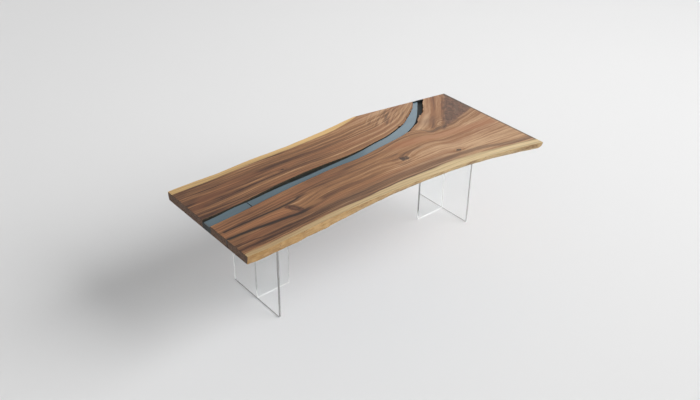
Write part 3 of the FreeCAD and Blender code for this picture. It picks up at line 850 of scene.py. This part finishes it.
def painted_panel_edge_look(name, colour, cover, painted_glow):
    """A polished edge of the clear sheet, drawn as a half-covering line whose colour and glow are painted
    light: they stand in for the light that the edge gathers and bends.
    """
    look = Look(name)
    x, y, z = look.place()
    streak = look.noise((x / 20, y / 20, z), 0.02, 2.0)
    colour = look.mix(streak, *shades(colour, 0.85, 1.05))
    return look.surface({
        "Base Color": colour, "Roughness": streak * 0.1 + 0.2, "Alpha": streak * 0.1 + cover,
        "Emission Color": colour, "Emission Strength": painted_glow})


def coated_steel_look():
    """Black powder coat with its fine orange peel."""
    look = Look("black powder coat")
    x, y, z = look.place()
    peel = look.noise((x, y, z), 0.0012, 2.0)
    wear = look.noise((x, y, z), 0.09, 3.0)
    dark, pale = shades(settings().legs.steel, 0.8, 1.25)
    return look.surface({
        "Base Color": look.mix(wear.between(0.3, 0.7), dark, pale), "Roughness": wear * 0.2 + 0.4,
        "Normal": look.bump(peel, 0.0003, 0.5)})


def metal_look(name, colour, roughness):
    """Turned or plated metal with faint rings and stains."""
    look = Look(name)
    x, y, z = look.place()
    rings = look.noise((x * 0.1, y * 0.1, z), 0.0007, 2.0)
    stain = look.noise((x, y, z), 0.01, 3.0)
    dark, pale = shades(colour, 0.7, 1.0)
    return look.surface({
        "Base Color": look.mix(stain.between(0.25, 0.75), dark, pale), "Metallic": 1.0,
        "Roughness": stain * 0.2 + (roughness - 0.1), "Normal": look.bump(rings, 0.0002, 0.4)})


def pad_look():
    """Soft clear plastic of the floor pads."""
    look = Look("soft pad")
    x, y, z = look.place()
    grain = look.noise((x, y, z), 0.0015, 2.0)
    dark, pale = shades(settings().legs.pad, 0.9, 1.0)
    return look.surface({
        "Base Color": look.mix(grain, dark, pale), "Roughness": grain * 0.2 + 0.4,
        "Transmission Weight": 0.6})


def only(piece):
    """Makes one object the whole selection."""
    bpy.ops.object.select_all(action="DESELECT")
    piece.select_set(True)
    bpy.context.view_layer.objects.active = piece


def merged_copy(node, name):
    """A copy of a node, with its triangles merged and no stored normals, alone in the selection."""
    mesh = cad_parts[node].data.copy()
    mesh.materials.clear()
    piece = bpy.data.objects.new(name, mesh)
    bpy.context.scene.collection.objects.link(piece)
    only(piece)
    bpy.ops.mesh.customdata_custom_splitnormals_clear()
    bpy.ops.object.mode_set(mode="EDIT")
    bpy.ops.mesh.select_all(action="SELECT")
    bpy.ops.mesh.remove_doubles(threshold=TINY / 10)
    bpy.ops.object.mode_set(mode="OBJECT")
    return piece


def select(piece, kind, wanted):
    """Selects, in edit mode, the faces or the edges that the test wants."""
    bpy.ops.mesh.select_mode(type=kind)
    bpy.ops.mesh.select_all(action="DESELECT")
    mesh = bmesh.from_edit_mesh(piece.data)
    for part in mesh.faces if kind == "FACE" else mesh.edges:
        if wanted(part):
            part.select_set(True)
    bmesh.update_edit_mesh(piece.data)


def joined(pieces):
    """The first of some pieces, with the others joined to it."""
    only(pieces[0])
    for piece in pieces:
        piece.select_set(True)
    bpy.ops.object.join()
    return pieces[0]


def cut_through(axis, first, last, count):
    """Cuts everything in edit mode by evenly spaced planes across one axis, and marks the cuts as seams."""
    normal = Vector([1.0 if index == axis else 0.0 for index in range(3)])
    for step in range(1, count):
        place = first + (last - first) * step / count
        bpy.ops.mesh.select_all(action="SELECT")
        bpy.ops.mesh.bisect(plane_co=normal * place, plane_no=normal)
        bpy.ops.mesh.mark_seam()


def give_slot(piece, material, wanted):
    """Adds a material to the piece and puts the faces that the test wants into its slot."""
    piece.data.materials.append(material)
    piece.active_material_index = len(piece.data.materials) - 1
    bpy.ops.object.mode_set(mode="EDIT")
    select(piece, "FACE", wanted)
    bpy.ops.object.material_slot_assign()
    bpy.ops.object.mode_set(mode="OBJECT")


def displace(piece, group, size, depth):
    """Pushes a vertex group in and out along Y by clouds of one size."""
    clouds = bpy.data.textures.new(group, "CLOUDS")
    clouds.noise_scale = size
    clouds.noise_depth = 2
    modifier = piece.modifiers.new(group, "DISPLACE")
    modifier.texture = clouds
    modifier.vertex_group = group
    modifier.direction = "Y"
    modifier.strength = depth
    bpy.ops.object.modifier_apply(modifier=modifier.name)


def solids_of(node):
    """The separate upright solids of a node, each as the list of its corners."""
    solids = []
    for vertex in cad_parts[node].data.vertices:
        for solid in solids:
            if (vertex.co.xy - solid[0].xy).length < SOLID_REACH:
                solid.append(vertex.co.copy())
                break
        else:
            solids.append([vertex.co.copy()])
    return solids


def middle_of(corners):
    """The point on the floor below the middle of some corners."""
    spans = [[corner[axis] for corner in corners] for axis in range(2)]
    return Vector([(min(span) + max(span)) / 2 for span in spans] + [0.0])


def rings_of(solid):
    """The radii that a turned solid has at each of its heights, smallest first."""
    middle = middle_of(solid)
    rings = {}
    for corner in solid:
        radius = (corner.xy - middle.xy).length
        if radius > TINY:
            rings.setdefault(round(corner.z, 4), []).append(radius)
    return {height: sorted(radii) for height, radii in rings.items()}


def turned(name, profile, middle):
    """A closed turned solid, drawn up ring by ring from pairs of a radius and a height."""
    sides = settings().legs.turned_sides
    radius, height = profile[0]
    bpy.ops.object.select_all(action="DESELECT")
    bpy.ops.mesh.primitive_circle_add(
        vertices=sides, radius=radius, fill_type="NGON", location=(middle.x, middle.y, height))
    piece = bpy.context.active_object
    piece.name = name
    bpy.ops.object.mode_set(mode="EDIT")
    bpy.ops.mesh.select_all(action="SELECT")
    for next_radius, next_height in profile[1:]:
        bpy.ops.mesh.extrude_region_move(TRANSFORM_OT_translate={"value": (0, 0, next_height - height)})
        share = next_radius / radius
        bpy.ops.transform.resize(value=(share, share, 1.0))
        radius, height = next_radius, next_height
    bpy.ops.mesh.select_all(action="SELECT")
    bpy.ops.mesh.normals_make_consistent(inside=False)
    bpy.ops.object.mode_set(mode="OBJECT")
    bpy.ops.object.transform_apply(location=True)
    return piece


def finished(piece, slot, *nodes):
    """Puts a finished piece on the root body and hides the nodes that it stands for. The slot is not used.
    """
    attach(piece, "root")
    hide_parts(*nodes)


def dress(material, *names):
    """Gives CAD nodes a finish of their own."""
    for name in names:
        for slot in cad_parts[name].material_slots:
            slot.material = material


class RIVERTABLE_OT_slabs(bpy.types.Operator):
    """Model the two wood slabs with their live edges and sawn ends"""

    bl_idname = "river_table.slabs"
    bl_label = "Wood Slabs"

    def execute(self, context):
        chosen = settings().slabs
        finishes = (live_edge_look(), end_grain_look(), dark_bank_wall_look())
        front = wood_look(
            "front slab wood", front_grain, front_figures, FRONT_KNOTS, FRONT_SAPWOOD, FRONT_DARKWOOD,
            chosen.sapwood, sap_pale=0.30, calm=0.20, lightness=0.40)
        back = wood_look(
            "back slab wood", back_grain, back_figures, BACK_KNOTS, BACK_SAPWOOD, BACK_DARKWOOD,
            chosen.back_sapwood, sap_pale=0.65, calm=0.80, lightness=0.33)
        self.model(chosen, "front_slab", front, finishes, FRONT_EDGE, FRONT_EDGE_BELOW, FRONT_BANK)
        self.model(chosen, "back_slab", back, finishes, BACK_EDGE, BACK_EDGE_BELOW, BACK_BANK)
        return {"FINISHED"}

    def model(self, chosen, node, wood, finishes, above, below, bank):
        """One slab from its CAD node: cut into a grid, weathered at its edges and eased above."""
        piece = merged_copy(node, node.replace("_", "_live_edge_"))
        box_low, box_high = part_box(node)
        sawn_from = above[-1][0] if node == "back_slab" else BANK_END

        def edge_distance(place):
            height = (place.z - UNDERSIDE) / (TOP - UNDERSIDE)
            upper = value_on(above, place.x)
            lower = value_on(below, place.x)
            return abs(place.y - upper - (lower - upper) * (1 - height) ** EDGE_CURVE)

        def bank_distance(place):
            return abs(place.y - value_on(bank, place.x))

        def upright(face):
            return abs(face.normal.z) < UPRIGHT

        def sawn(face):
            at_end = abs(face.normal.x) > UPRIGHT
            at_back = face.normal.y > FACING and face.calc_center_median().x > sawn_from
            return (at_end or at_back) and upright(face)

        def on_bank(face):
            steep = abs(face.normal.z) < STEEP
            return steep and not sawn(face) and bank_distance(face.calc_center_median()) < BANK_REACH

        def on_live_edge(face):
            near = edge_distance(face.calc_center_median()) < EDGE_REACH
            return upright(face) and not sawn(face) and near

        bpy.ops.object.mode_set(mode="EDIT")
        cut_through(0, box_low.x, box_high.x, round(TABLE_LENGTH / chosen.cut_pitch))
        cut_through(2, UNDERSIDE, TOP, chosen.edge_layers)
        select(piece, "FACE", lambda face: abs(face.normal.z) > LEVEL)
        bpy.ops.mesh.dissolve_limited(angle_limit=math.radians(0.2), delimit={"SEAM"})
        bpy.ops.object.mode_set(mode="OBJECT")

        piece.data.materials.append(wood)
        for finish, wanted in zip(finishes, (on_live_edge, sawn, on_bank)):
            give_slot(piece, finish, wanted)

        for group, share in (("hollows", RIM_HOLLOWS), ("ripples", RIM_RIPPLES)):
            self.weigh(piece, group, on_live_edge, lambda place: share if place.z > TOP - TINY else 1.0)
        self.weigh(piece, "bites", on_bank, lambda place: 1.0 if place.x > RAGGED_START else CALM_BITES)
        displace(piece, "hollows", chosen.hollow_size, chosen.hollow_depth)
        displace(piece, "ripples", chosen.ripple_size, chosen.ripple_depth)
        displace(piece, "bites", chosen.ragged_size, chosen.ragged_depth)

        cracks = [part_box(name) for name in ("crack_fill_long", "crack_fill_short")]

        def beside_crack(place):
            return any(
                low.x - TINY < place.x < high.x + TINY and low.y - TINY < place.y < high.y + TINY
                for low, high in cracks)

        def eased_end(face):
            from_end = TABLE_LENGTH / 2 - abs(face.calc_center_median().x - (LEFT_END + RIGHT_END) / 2)
            return from_end < chosen.edge_ease and face.normal.z > EASED

        def rim(edge, limit):
            ups = sorted(face.normal.z for face in edge.link_faces)
            return len(ups) == 2 and ups[0] < limit and ups[1] > LEVEL

        def upper_rim(edge):
            places = [vertex.co for vertex in edge.verts]
            level = all(place.z > TOP - TINY for place in places)
            return level and rim(edge, FACING) and not all(beside_crack(place) for place in places)

        bpy.ops.object.mode_set(mode="EDIT")
        select(piece, "EDGE", upper_rim)
        bpy.ops.mesh.bevel(offset=chosen.edge_ease, segments=2, profile=0.5, clamp_overlap=True)
        select(piece, "EDGE", lambda edge: rim(edge, LEVEL))
        bpy.ops.mesh.mark_sharp()
        select(piece, "FACE", eased_end)
        piece.active_material_index = END_GRAIN_SLOT
        bpy.ops.object.material_slot_assign()
        bpy.ops.object.mode_set(mode="OBJECT")
        bpy.ops.object.shade_smooth_by_angle(angle=SMOOTH_ANGLE)
        finished(piece, "slab_wood", node)

    def weigh(self, piece, group, wanted, weight):
        """Puts the corners of the wanted faces into a vertex group, each with its own weight."""
        weights = piece.vertex_groups.new(name=group)
        mesh = bmesh.new()
        mesh.from_mesh(piece.data)
        for face in filter(wanted, mesh.faces):
            for vertex in face.verts:
                weights.add([vertex.index], weight(vertex.co), "REPLACE")
        mesh.free()


class RIVERTABLE_OT_river(bpy.types.Operator):
    """Finish the river glass, the bed under it and the filled cracks"""

    bl_idname = "river_table.river"
    bl_label = "River and Cracks"

    def execute(self, context):
        chosen = settings().river
        dress(river_glass_look(), "river_glass_short", "river_glass_long")
        dress(resin_look("bed resin", chosen.bed, 0.65), "river_bed")
        dress(resin_look("crack resin", chosen.crack, 0.4), "crack_fill_long", "crack_fill_short")
        return {"FINISHED"}


class RIVERTABLE_OT_panels(bpy.types.Operator):
    """Model the clear leg panels with their polished edges and the bonded seam of each fin"""

    bl_idname = "river_table.panels"
    bl_label = "Clear Leg Panels"

    def execute(self, context):
        chosen = settings().legs
        clear = clear_look()
        # The edges' colours and glows are painted light: white glowing lines where the sheet gathers and
        # bends light, and a lit grey on the fin tips that face away from the key lamp
        far = painted_panel_edge_look("far panel edge", chosen.panel_foot, cover=0.30, painted_glow=0.12)
        bond = painted_panel_edge_look("bonded seam", chosen.panel_foot, cover=0.45, painted_glow=0.16)
        foot = painted_panel_edge_look("fin foot", chosen.panel_foot, cover=0.85, painted_glow=0.32)
        end = painted_panel_edge_look("fin tip", chosen.panel_tip, cover=0.60, painted_glow=0.10)
        for leg, grey, cover in zip(LEGS, chosen.edge_greys, chosen.edge_covers):
            near = painted_panel_edge_look(leg + "near edge", (grey, grey, grey), cover, painted_glow=0.0)
            cross, fin = leg + "cross_panel", leg + "fin_panel"
            tip = -1 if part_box(fin)[0].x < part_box(cross)[0].x else 1
            self.model(chosen, cross, 0, (clear, (near, 1, -1), (far, 1, 1), (near, 2, -1)))
            self.model(chosen, fin, -tip, (clear, (end, 0, tip), (bond, 0, -tip), (foot, 2, -1)))
        return {"FINISHED"}

    def model(self, chosen, node, seam, finishes):
        """One panel from its CAD node: whole flats, a seam's face set back, finishes on its edges."""
        piece = merged_copy(node, node.replace("panel", "sheet"))
        bpy.ops.object.mode_set(mode="EDIT")
        bpy.ops.mesh.select_all(action="SELECT")
        bpy.ops.mesh.dissolve_limited(angle_limit=math.radians(0.5))

        def facing(axis, way):
            return lambda face: face.normal[axis] * way > FACING and face.calc_area() > chosen.bore_area

        if seam:
            select(piece, "FACE", facing(0, seam))
            bpy.ops.transform.translate(value=(-seam * chosen.seam_gap, 0, 0))
        bpy.ops.object.mode_set(mode="OBJECT")
        piece.data.materials.append(finishes[0])
        for finish, axis, way in finishes[1:]:
            give_slot(piece, finish, facing(axis, way))
        finished(piece, "clear_acrylic", node)


class RIVERTABLE_OT_steel(bpy.types.Operator):
    """Finish the mounting plates, the stiffeners and the threaded inserts"""

    bl_idname = "river_table.steel"
    bl_label = "Steel and Inserts"

    def execute(self, context):
        plates = [leg + "mount_plate" for leg in LEGS]
        dress(coated_steel_look(), "stiffener_left", "stiffener_middle", "stiffener_right", *plates)
        inserts = [leg + "plate_inserts" for leg in LEGS]
        dress(metal_look("turned brass", settings().legs.brass, 0.3), "stiffener_inserts", *inserts)
        return {"FINISHED"}


class RIVERTABLE_OT_fasteners(bpy.types.Operator):
    """Model the button-head bolts and the countersunk screws, and set them in their places"""

    bl_idname = "river_table.fasteners"
    bl_label = "Bolts and Screws"

    def execute(self, context):
        zinc = metal_look("zinc plate", settings().legs.zinc, 0.35)
        self.set_out(zinc, self.button_head, "stiffener_screws")
        for leg in LEGS:
            self.set_out(zinc, self.button_head, leg + "plate_bolts")
            self.set_out(zinc, self.countersunk, leg + "panel_screws")
        return {"FINISHED"}

    def set_out(self, zinc, model, node):
        """Models one fastener, copies it to every place that the node has and joins them."""
        solids = solids_of(node)
        first = model(node.replace("stiffener", "stiffener_round"), solids[0])
        first.data.materials.append(zinc)
        bpy.ops.object.shade_smooth_by_angle(angle=FASTENER_SMOOTH_ANGLE)
        copies = [first]
        for solid in solids[1:]:
            only(first)
            bpy.ops.object.duplicate()
            bpy.ops.transform.translate(value=middle_of(solid) - middle_of(solids[0]))
            bpy.ops.object.transform_apply(location=True)
            copies.append(bpy.context.active_object)
        finished(joined(copies), "fastener_steel", node)

    def threads(self, radius, low, high):
        """The rings of a threaded shank, from its foot up to its end."""
        pitch = settings().legs.thread_pitch
        crest = radius * FLAT_SHARE
        root = crest - THREAD_DEPTH * pitch
        rings = []
        for turn in range(int((high - low) / pitch)):
            rings += [(root, low + turn * pitch), (crest, low + (turn + 0.5) * pitch)]
        return rings

    def button_head(self, name, solid):
        """A button-head bolt, its socket in the crown below and its threads above."""
        rings = rings_of(solid)
        crown, seat, end = sorted(rings)
        small, wide = rings[crown][0], rings[seat][-1]
        shank = rings[end][0]
        rise = seat - crown
        dome = [(share * wide, crown + lift * rise) for share, lift in DOME]
        head = [(small, crown)] + dome + [(wide, seat)]
        profile = head + self.threads(shank, seat, end) + [(TIP_SHARE * shank, end)]
        piece = turned(name, profile, middle_of(solid))
        self.socket(piece, crown, SOCKET_RADIUS * wide, BOLT_SOCKET_DEPTH * rise)
        return piece

    def countersunk(self, name, solid):
        """A countersunk screw, its threads below and its socket in the flat head above."""
        rings = rings_of(solid)
        end, neck, head = sorted(rings)
        shank, wide = rings[end][0], rings[head][-1]
        flat = wide * FLAT_SHARE
        top = [(shank * FLAT_SHARE, neck), (flat, head - SCREW_RIM), (flat, head)]
        profile = [(TIP_SHARE * shank, end)] + self.threads(shank, end + SCREW_POINT, neck) + top
        piece = turned(name, profile, middle_of(solid))
        self.socket(piece, head, SOCKET_RADIUS * wide, SCREW_SOCKET_DEPTH * (head - neck))
        return piece

    def socket(self, piece, face, radius, depth):
        """Sinks a six-sided socket into a head's flat face."""
        place = middle_of([vertex.co for vertex in piece.data.vertices])
        bpy.ops.object.select_all(action="DESELECT")
        bpy.ops.mesh.primitive_cylinder_add(
            vertices=6, radius=radius, depth=2 * depth, location=(place.x, place.y, face))
        cutter = bpy.context.active_object
        only(piece)
        modifier = piece.modifiers.new("socket", "BOOLEAN")
        modifier.operation = "DIFFERENCE"
        modifier.object = cutter
        bpy.ops.object.modifier_apply(modifier=modifier.name)
        bpy.data.objects.remove(cutter)


class RIVERTABLE_OT_pads(bpy.types.Operator):
    """Model the soft floor pads under the panels"""

    bl_idname = "river_table.pads"
    bl_label = "Floor Pads"

    def execute(self, context):
        soft = pad_look()
        for leg in LEGS:
            node = leg + "floor_pads"
            piece = joined([self.model(solid) for solid in solids_of(node)])
            piece.name = leg + "soft_pads"
            piece.data.materials.append(soft)
            bpy.ops.object.shade_smooth_by_angle(angle=SMOOTH_ANGLE)
            finished(piece, "clear_pad", node)
        return {"FINISHED"}

    def model(self, solid):
        """A pad with a rounded rim that rests on the floor."""
        rings = rings_of(solid)
        low, high = sorted(rings)
        radius = rings[low][-1]
        rise = high - low
        profile = [(radius - inset * rise, low + lift * rise) for inset, lift in PAD_RIM]
        return turned("soft_pad", profile, middle_of(solid))


class RIVERTABLE_OT_stage(bpy.types.Operator):
    """Set up the floor, the lamps and the camera"""

    bl_idname = "river_table.stage"
    bl_label = "Stage"

    def execute(self, context):
        chosen = settings().stage
        self.floor(chosen)
        self.lamps(chosen)
        self.camera(chosen)
        context.scene.view_settings.view_transform = "Standard"
        return {"FINISHED"}

    def floor(self, chosen):
        """A pale floor with painted light: palest round a middle on the lamp side and greyer far off for the
        light's falloff, and a painted cool tint under the table that cancels the wood's warm bounce light.
        """
        bpy.ops.object.select_all(action="DESELECT")
        bpy.ops.mesh.primitive_plane_add(size=chosen.floor_size)
        floor = bpy.context.active_object
        floor.name = "floor"
        look = Look("pale floor")
        x, y, _ = look.place()
        middle_x, middle_y, _ = chosen.painted_light_middle
        off = ((x - middle_x) ** 2 + (y - middle_y) ** 2) ** 0.5
        colour = look.mix(off.between(0.0, chosen.painted_light_reach), chosen.floor_painted_lit, chosen.floor_painted_dim)
        along, across = chosen.cool_reach
        under = x.near(0.0, along) * y.near(0.0, across)
        colour = look.mix(under, colour, chosen.floor_cool, "MULTIPLY")
        floor.data.materials.append(look.surface({
            "Base Color": colour, "Roughness": 0.8, "Specular IOR Level": 0.2}))

    def lamp(self, kind, name, place, target):
        """A lamp at a place that shines on a target."""
        bpy.ops.object.light_add(type=kind, location=place)
        lamp = bpy.context.active_object
        lamp.name = name
        lamp.rotation_euler = (target - place).to_track_quat("-Z", "Y").to_euler()
        return lamp

    def lamps(self, chosen):
        """A sky brighter at the horizon, a wide key lamp kept out of reflections and a soft box behind."""
        sky = Look("studio", "worlds")
        way = sky.node("ShaderNodeTexCoord", output="Generated")
        height = abs(sky.node("ShaderNodeSeparateXYZ", None, {0: way}, 2))
        strength = (1 - height) ** 2 * chosen.horizon + chosen.sky
        light = sky.node("ShaderNodeBackground", None, {"Color": strength})
        sky.node("ShaderNodeOutputWorld", None, {"Surface": light})
        bpy.context.scene.world = sky.material
        level = math.cos(chosen.key_rise)
        towards = Vector((
            level * math.cos(chosen.key_turn), level * math.sin(chosen.key_turn), math.sin(chosen.key_rise)))
        key = self.lamp("SUN", "key lamp", towards * chosen.key_distance, Vector())
        key.data.energy = chosen.key_strength
        key.data.angle = chosen.key_angle
        key.visible_glossy = False
        sheen = self.lamp("AREA", "soft box", Vector(chosen.sheen_place), Vector((0.0, 0.0, TOP)))
        sheen.data.energy = chosen.sheen_power
        sheen.data.size = chosen.sheen_size
        sheen.visible_camera = False
        sheen.visible_diffuse = False

    def camera(self, chosen):
        """The camera at the photograph's place and angles."""
        turn, tilt, roll = chosen.camera_turn, chosen.camera_tilt, chosen.camera_roll
        ahead = Vector((math.cos(tilt) * math.cos(turn), math.cos(tilt) * math.sin(turn), -math.sin(tilt)))
        level = Vector((math.sin(turn), -math.cos(turn), 0.0))
        above = level.cross(ahead)
        right = level * math.cos(roll) + above * math.sin(roll)
        upper = above * math.cos(roll) - level * math.sin(roll)
        axes = Matrix((right, upper, -ahead)).transposed()
        bpy.ops.object.camera_add(location=chosen.camera_place)
        camera = bpy.context.active_object
        camera.rotation_euler = axes.to_euler()
        camera.data.lens = chosen.camera_lens
        camera.data.sensor_fit = "HORIZONTAL"
        bpy.context.scene.camera = camera


PIECES = (
    RIVERTABLE_OT_slabs, RIVERTABLE_OT_river, RIVERTABLE_OT_panels, RIVERTABLE_OT_steel,
    RIVERTABLE_OT_fasteners, RIVERTABLE_OT_pads, RIVERTABLE_OT_stage)


class RIVERTABLE_PT_panel(bpy.types.Panel):
    """The table's pieces, one button each"""

    bl_idname = "RIVERTABLE_PT_panel"
    bl_label = "River Table"
    bl_space_type = "VIEW_3D"
    bl_region_type = "UI"
    bl_category = "River Table"

    def draw(self, context):
        for piece in PIECES:
            self.layout.operator(piece.bl_idname)


SETTINGS = (SlabSettings, RiverSettings, LegSettings, StageSettings, TableSettings)
CLASSES = SETTINGS + PIECES + (RIVERTABLE_PT_panel,)


def register():
    for entry in CLASSES:
        bpy.utils.register_class(entry)
    bpy.types.Scene.river_table = PointerProperty(type=TableSettings)


def unregister():
    del bpy.types.Scene.river_table
    for entry in reversed(CLASSES):
        bpy.utils.unregister_class(entry)


def main():
    register()
    bpy.ops.river_table.slabs()
    bpy.ops.river_table.river()
    bpy.ops.river_table.panels()
    bpy.ops.river_table.steel()
    bpy.ops.river_table.fasteners()
    bpy.ops.river_table.pads()
    bpy.ops.river_table.stage()


if __name__ == "__main__":
    main()
